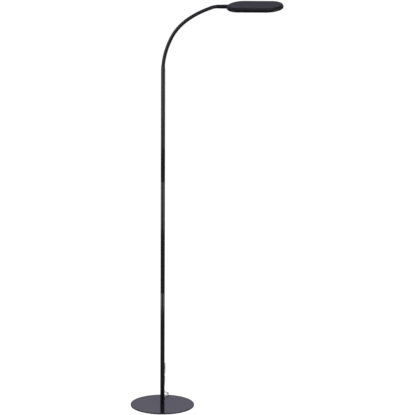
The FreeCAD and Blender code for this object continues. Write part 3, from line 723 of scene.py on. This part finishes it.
cuts = [FERRULE_HIDES] + [joint - HALF_LINK for joint in joint_lengths]
cuts.append(joint_lengths[-1] + TIP_REACH)
for index in range(len(cuts) - 1):
    stretch = sleeve_stretch("sleeve_stretch_%d" % (index + 1), cuts[index], cuts[index + 1])
    stands_for = ["sleeve_%d" % (index + 1)]
    if index == 0:
        done(stretch, "sleeve_stretch_1", "swivel", sleeve_pvc, stands_for)
        continue
    if index == len(cuts) - 2:
        stands_for.append("sleeve_7")
    done(stretch, "sleeve_stretch_%d" % (index + 1), None, sleeve_pvc, [])
    joint = joint_lengths[index - 1]
    reach = HALF_LINK * TURN_SHARE if index < len(cuts) - 2 else TIP_REACH * TIP_TURN_SHARE
    hose_place(joint - HALF_LINK * TURN_SHARE)[0]
    hose_place(joint + reach)[0]
    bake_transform(stretch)
    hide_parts(*stands_for)

# ---- hose core and fasteners ----------------------------------------------------------------
# The neck's core is wound from steel wire, a round one with a wedge one between its turns, whose
# friction holds the bend. Bolt, insert, couplings, retainer and nut are turned and nickel plated.
# Drawn spring steel: a dark oiled grey with a broken shine, its turns 1.5 mm apart.
wound_steel, tree, shader = new_material(
    "wound_spring_steel", Base_Color=colour("6e6f72"), Metallic=1.0, Roughness=0.35)
place = add_node(tree, "ShaderNodeTexCoord").outputs["Object"]
turns = add_node(tree, "ShaderNodeTexNoise", inputs={"Scale": 700.0}, links={"Vector": place})
bump = add_node(tree, "ShaderNodeBump", inputs={"Strength": 0.3, "Distance": 0.0003},
                links={"Height": turns.outputs["Fac"]})
tree.links.new(bump.outputs["Normal"], shader.inputs["Normal"])
dress(wound_steel, *["hose_%d" % number for number in range(1, 8)])
dress(nickel_plate, "base_bolt", "pole_foot_insert", "pole_coupling_lower", "pole_coupling_upper",
      "neck_retainer", "stem_nut")

# ---- inner cables ---------------------------------------------------------------------------
# A two-core lamp cable in a rubber jacket, from the cord's end in the pole's foot to the driver,
# and from there through the hose to the head.
# Extruded rubber: nearly matt black, dusted with talc.
rubber_cable, tree, shader = new_material(
    "black_rubber_cable", Base_Color=colour("202022"), Roughness=0.7)
place = add_node(tree, "ShaderNodeTexCoord").outputs["Object"]
talc = add_node(tree, "ShaderNodeTexNoise", inputs={"Scale": 800.0}, links={"Vector": place})
bump = add_node(tree, "ShaderNodeBump", inputs={"Strength": 0.2, "Distance": 0.0001},
                links={"Height": talc.outputs["Fac"]})
tree.links.new(bump.outputs["Normal"], shader.inputs["Normal"])
dress(rubber_cable, "feed_cable", "pole_cable", "head_cable",
      *["neck_cable_%d" % number for number in range(1, 8)])

# ---- ferrule at the hose's foot -------------------------------------------------------------
# A turned steel collar, tapered from the pole's width to the hose's, coated with the pole.
COLLAR_LOW = 1.2183
COLLAR_FOOT_R = 0.0074
COLLAR_TOP_R = 0.0068
COLLAR_EASED = 0.0004
collar_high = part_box("neck_ferrule")[1][2]
bpy.ops.mesh.primitive_cone_add(vertices=96, radius1=COLLAR_FOOT_R, radius2=COLLAR_TOP_R,
                                depth=collar_high - COLLAR_LOW,
                                location=(0, 0, (collar_high + COLLAR_LOW) / 2))
collar = bpy.context.object
pick(collar, edges=lambda a, b: abs(a.z - b.z) < 1e-6)
bpy.ops.mesh.bevel(offset=COLLAR_EASED, segments=3, affect="EDGES")
bpy.ops.object.mode_set(mode="OBJECT")
done(collar, "hose_ferrule", "swivel", pole_lacquer, ["neck_ferrule"])

# ---- stem -----------------------------------------------------------------------------------
# The hose's upper end fitting: a turned steel cone, crimped on the hose and screwed to the head.
STEM_LENGTH = 0.03255
STEM_OVER_HOSE = 0.005
STEM_TIP_R = 0.0067
STEM_R = 0.0073
STEM_IN_HEAD = 0.004
STEM_EASED = 0.0008
hose_end, end_heading = hose_place(sum(arc for arc, bend in HOSE_ARCS))
head_pitch = math.radians(end_heading)
along_head = Vector((math.cos(head_pitch), 0, math.sin(head_pitch)))
above_head = Vector((-math.sin(head_pitch), 0, math.cos(head_pitch)))
stem_length = STEM_LENGTH + STEM_OVER_HOSE + STEM_IN_HEAD
bpy.ops.mesh.primitive_cone_add(vertices=96, radius1=STEM_TIP_R, radius2=STEM_R, depth=stem_length)
stem = bpy.context.object
stem.rotation_euler = along_head.to_track_quat("Z", "Y").to_euler()
stem.location = hose_end + along_head * (stem_length / 2 - STEM_OVER_HOSE)
bpy.ops.object.transform_apply(location=True, rotation=True, scale=True)
pick(stem, edges=lambda a, b: abs((a - b).dot(along_head)) < 1e-6)
bpy.ops.mesh.bevel(offset=STEM_EASED, segments=4, affect="EDGES")
bpy.ops.object.mode_set(mode="OBJECT")
# Satin black powder coat, a duller batch than the pole's: a soft grey sheen on its upper side.
stem_coat, tree, shader = new_material(
    "satin_black_stem_coat", Base_Color=colour("0e0e10"), Roughness=0.38, IOR=1.45,
    Specular_IOR_Level=0.16)
place = add_node(tree, "ShaderNodeTexCoord").outputs["Object"]
peel = add_node(tree, "ShaderNodeTexNoise", inputs={"Scale": 900.0, "Detail": 2.0},
                links={"Vector": place})
bump = add_node(tree, "ShaderNodeBump", inputs={"Strength": 0.08, "Distance": 0.0002},
                links={"Height": peel.outputs["Fac"]})
tree.links.new(bump.outputs["Normal"], shader.inputs["Normal"])
done(stem, "head_stem", "head", stem_coat, ["stem"])

# ---- head shell and frame -------------------------------------------------------------------
# A die-cast aluminium cover with a broad rounded rim over a thinner frame, both powder coated
# satin black; the frame snaps in and leaves a hairline all round.
HEAD_HALF_LENGTH = 0.1005
HEAD_HALF_WIDTH = 0.0512
HEAD_HALF_THICK = 0.00755
TOP_ROUND = 0.009
BOTTOM_ROUND = 0.0042
SPLIT = -0.0032
SPLIT_HALF = 0.0001
SPLIT_EASED = 0.00015
WINDOW_INSET = 0.0085
WINDOW_STEP = 0.0012
STEM_DROP = 0.00035
LARGE_FACE = 0.005
OUTLINE_FACETS = 192
HALF_FACET = math.pi / OUTLINE_FACETS
head_middle = hose_end + along_head * (STEM_LENGTH + HEAD_HALF_LENGTH) + above_head * STEM_DROP


def head_slab(name, inset, low, high):
    """A slab with the head's outline, drawn in by inset, in the head's own level place."""
    # Half a facet's turn leaves no vertex in the middle, where the two halves part.
    radius = HEAD_HALF_WIDTH - inset
    bpy.ops.mesh.primitive_cylinder_add(vertices=OUTLINE_FACETS, radius=radius, depth=high - low,
                                        location=(0, 0, (low + high) / 2),
                                        rotation=(0, 0, HALF_FACET))
    slab = bpy.context.object
    slab.name = name
    bpy.ops.object.transform_apply(location=True, rotation=True, scale=True)
    reach = HEAD_HALF_LENGTH - HEAD_HALF_WIDTH
    for vertex in slab.data.vertices:
        vertex.co.x += math.copysign(reach, vertex.co.x)
    return slab


def to_head(slab):
    """Carry a piece from the level place to the head's real one."""
    slab.rotation_euler = (0, -head_pitch, 0)
    slab.location = head_middle
    return slab


# Fine-texture powder coat on cast aluminium: a flat grey-black with hardly a highlight. Its grain
# is drawn at 1 mm so that it shows.
head_coat, tree, shader = new_material(
    "satin_black_head_coat", Base_Color=colour("0e0e10"), Roughness=0.40, IOR=1.45,
    Specular_IOR_Level=0.14)
place = add_node(tree, "ShaderNodeTexCoord").outputs["Object"]
powder = add_node(tree, "ShaderNodeTexNoise", inputs={"Scale": 1000.0, "Detail": 3.0},
                  links={"Vector": place})
bump = add_node(tree, "ShaderNodeBump", inputs={"Strength": 0.06, "Distance": 0.0002},
                links={"Height": powder.outputs["Fac"]})
tree.links.new(bump.outputs["Normal"], shader.inputs["Normal"])

shell = head_slab("head_cover", 0, SPLIT + SPLIT_HALF, HEAD_HALF_THICK)
pick(shell, edges=lambda a, b: min(a.z, b.z) > HEAD_HALF_THICK - 1e-6)
bpy.ops.mesh.bevel(offset=TOP_ROUND, segments=14, affect="EDGES")
bpy.ops.object.mode_set(mode="OBJECT")
pick(shell, edges=lambda a, b: max(a.z, b.z) < SPLIT + SPLIT_HALF * 1.1)
bpy.ops.mesh.bevel(offset=SPLIT_EASED, segments=2, affect="EDGES")
bpy.ops.object.mode_set(mode="OBJECT")
keep_flat(shell, lambda face: face.area > LARGE_FACE)
close_up(shell)
done(to_head(shell), "head_cover", "head", head_coat, ["head_shell"], smooth=40)

rim = head_slab("head_rim", 0, -HEAD_HALF_THICK, SPLIT - SPLIT_HALF)
pick(rim, faces=lambda face: face.normal.z < -0.9)
bpy.ops.mesh.inset(thickness=WINDOW_INSET, use_even_offset=True)
bpy.ops.mesh.extrude_region_move(TRANSFORM_OT_translate={"value": (0, 0, WINDOW_STEP)})
bpy.ops.object.mode_set(mode="OBJECT")


def on_outline(point):
    over = abs(point.x) - (HEAD_HALF_LENGTH - HEAD_HALF_WIDTH)
    return math.hypot(max(over, 0), point.y) > HEAD_HALF_WIDTH - 0.0002


def lower_outline(a, b):
    return max(a.z, b.z) < -HEAD_HALF_THICK + 1e-6 and on_outline(a) and on_outline(b)


pick(rim, edges=lower_outline)
bpy.ops.mesh.bevel(offset=BOTTOM_ROUND, segments=10, affect="EDGES")
bpy.ops.object.mode_set(mode="OBJECT")
keep_flat(rim, lambda face: face.area > LARGE_FACE)
close_up(rim)
done(to_head(rim), "head_rim", "head", head_coat, ["head_frame"], smooth=40)

# ---- diffuser -------------------------------------------------------------------------------
# A cast opal acrylic sheet, satin on the outside, dropped into the frame's seat from inside.
WINDOW_GAP = 0.0002
WINDOW_BACK = -0.0052
WINDOW_LOW = -HEAD_HALF_THICK + 0.00025
WINDOW_EASED = 0.0004
# Opal acrylic: warm white, light goes a few millimetres in and out again, satin where it is matted.
opal, tree, shader = new_material(
    "opal_acrylic", Base_Color=colour("f1f1ec"), Roughness=0.35, IOR=1.49, Subsurface_Weight=0.4,
    Subsurface_Scale=0.004)
place = add_node(tree, "ShaderNodeTexCoord").outputs["Object"]
satin = add_node(tree, "ShaderNodeTexNoise", inputs={"Scale": 1300.0, "Detail": 2.0},
                 links={"Vector": place})
bump = add_node(tree, "ShaderNodeBump", inputs={"Strength": 0.08, "Distance": 0.0001},
                links={"Height": satin.outputs["Fac"]})
tree.links.new(bump.outputs["Normal"], shader.inputs["Normal"])
window = head_slab("light_window", WINDOW_INSET + WINDOW_GAP, WINDOW_LOW, WINDOW_BACK)
pick(window, edges=lambda a, b: max(a.z, b.z) < WINDOW_LOW + 1e-5)
bpy.ops.mesh.bevel(offset=WINDOW_EASED, segments=3, affect="EDGES")
bpy.ops.object.mode_set(mode="OBJECT")
keep_flat(window, lambda face: face.area > LARGE_FACE)
done(to_head(window), "light_window", "head", opal, ["diffuser"], smooth=40)

# ---- reflector and LED board ----------------------------------------------------------------
# The reflector is moulded in white polycarbonate and holds the board, which is white as well, over
# the opal sheet.
# Moulded polycarbonate: a plain half-matt white.
white_pc, tree, shader = new_material(
    "white_polycarbonate", Base_Color=colour("f3f3f1"), Roughness=0.5)
place = add_node(tree, "ShaderNodeTexCoord").outputs["Object"]
mould = add_node(tree, "ShaderNodeTexNoise", inputs={"Scale": 500.0}, links={"Vector": place})
bump = add_node(tree, "ShaderNodeBump", inputs={"Strength": 0.05, "Distance": 0.0001},
                links={"Height": mould.outputs["Fac"]})
tree.links.new(bump.outputs["Normal"], shader.inputs["Normal"])
dress(white_pc, "reflector", "led_board")

# ---- LEDs -----------------------------------------------------------------------------------
# Forty LEDs soldered to the board in rows, each a white case filled with phosphor gel.
# Phosphor gel: a smooth egg yellow while the light is off.
phosphor, tree, shader = new_material(
    "led_phosphor_gel", Base_Color=colour("f2d36a"), Roughness=0.3)
place = add_node(tree, "ShaderNodeTexCoord").outputs["Object"]
gel = add_node(tree, "ShaderNodeTexNoise", inputs={"Scale": 2500.0}, links={"Vector": place})
bump = add_node(tree, "ShaderNodeBump", inputs={"Strength": 0.1, "Distance": 0.0001},
                links={"Height": gel.outputs["Fac"]})
tree.links.new(bump.outputs["Normal"], shader.inputs["Normal"])
dress(phosphor, "leds")

# ---- last update of the scene -----------------------------------------------------------------
bpy.context.view_layer.update()
